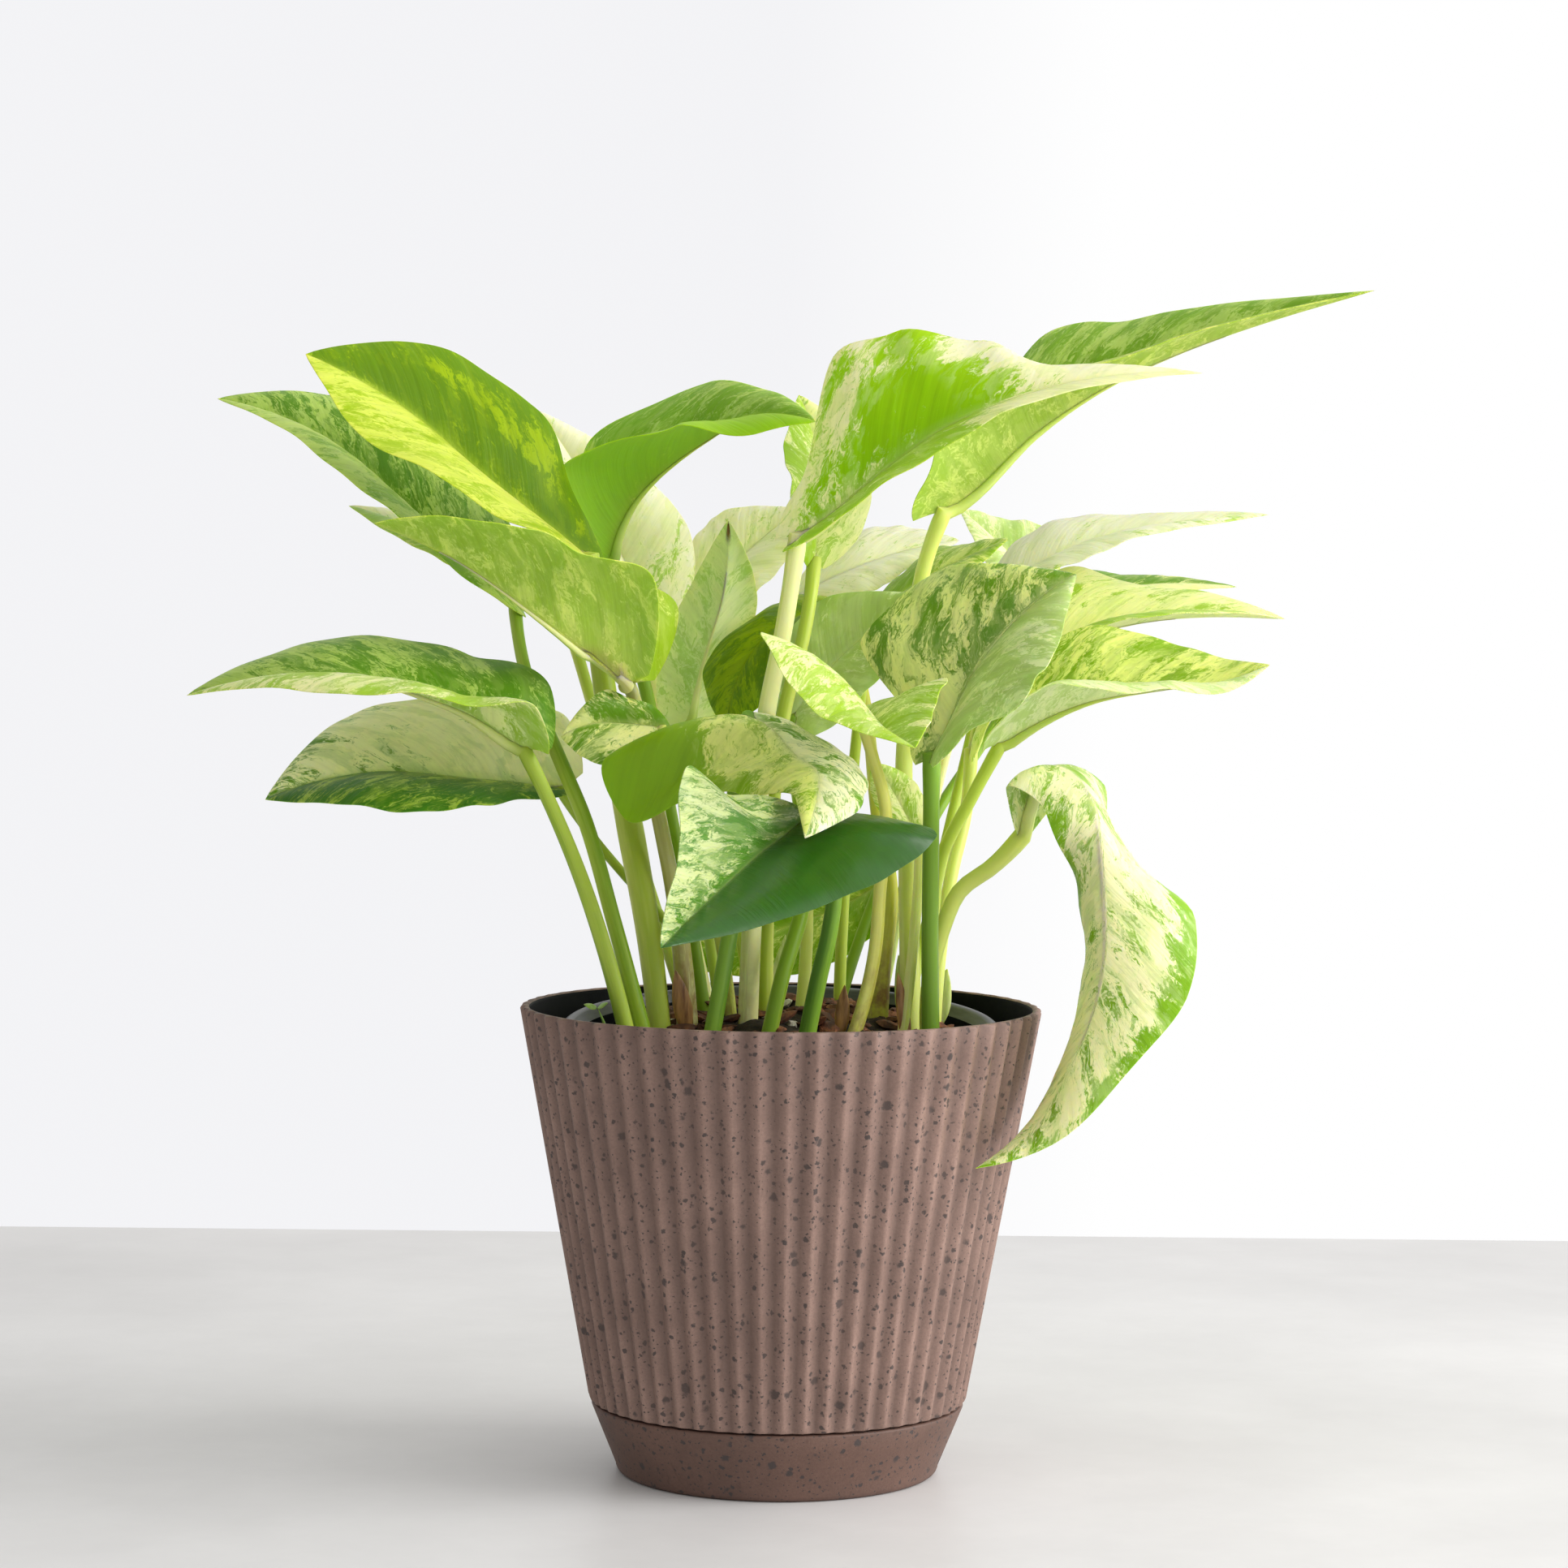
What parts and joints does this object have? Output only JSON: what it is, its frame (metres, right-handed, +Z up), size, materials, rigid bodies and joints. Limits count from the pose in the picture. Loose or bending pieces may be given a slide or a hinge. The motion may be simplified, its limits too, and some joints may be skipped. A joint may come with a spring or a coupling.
{
  "type": "potted plant",
  "caption": "Marble queen pothos with variegated heart-shaped leaves on long stalks, in a nursery pot inside a ribbed speckled cover pot with a drip saucer.",
  "frame": {"origin": "centre of the saucer's flat foot, on the surface that the pot stands on", "axes": "+Z up along the pot's axis, -Y towards the viewer of the picture, +X to the viewer's right"},
  "size_m": [0.2822, 0.2035, 0.2844],
  "materials": {
    "pot_composite": "matt speckled composite, taupe brown with charcoal specks",
    "saucer_composite": "matt speckled composite, taupe brown with charcoal specks",
    "nursery_plastic": "thin dark grey plastic, satin",
    "potting_soil": "loose dark potting mix with bark",
    "leaf_deep_green": "satin living leaf",
    "leaf_mid_green": "satin living leaf",
    "leaf_yellow_green": "satin living leaf, light passes through it",
    "leaf_pale_green": "satin living leaf, pale and marbled",
    "leaf_cream_green": "satin living leaf, cream with green marbling"
  },
  "bodies": {
    "root": {"pot_body": "pot_composite", "drip_saucer": "saucer_composite", "nursery_pot": "nursery_plastic", "soil": "potting_soil", "leaf_01": "leaf_yellow_green", "leaf_02": "leaf_mid_green", "leaf_03": "leaf_pale_green", "leaf_04": "leaf_mid_green", "leaf_05": "leaf_yellow_green", "leaf_06": "leaf_pale_green", "leaf_07": "leaf_mid_green", "leaf_08": "leaf_cream_green", "leaf_09": "leaf_cream_green", "leaf_10": "leaf_cream_green", "leaf_11": "leaf_deep_green", "leaf_12": "leaf_pale_green", "leaf_13": "leaf_deep_green", "leaf_14": "leaf_cream_green", "leaf_15": "leaf_pale_green", "leaf_16": "leaf_pale_green", "leaf_17": "leaf_pale_green", "leaf_18": "leaf_mid_green", "leaf_19": "leaf_mid_green", "leaf_20": "leaf_yellow_green", "leaf_21": "leaf_pale_green", "leaf_22": "leaf_pale_green", "leaf_23": "leaf_mid_green", "leaf_24": "leaf_deep_green", "leaf_25": "leaf_mid_green", "leaf_26": "leaf_mid_green", "leaf_27": "leaf_pale_green", "leaf_28": "leaf_cream_green", "leaf_29": "leaf_pale_green", "leaf_30": "leaf_mid_green"}
  },
  "joints": []
}
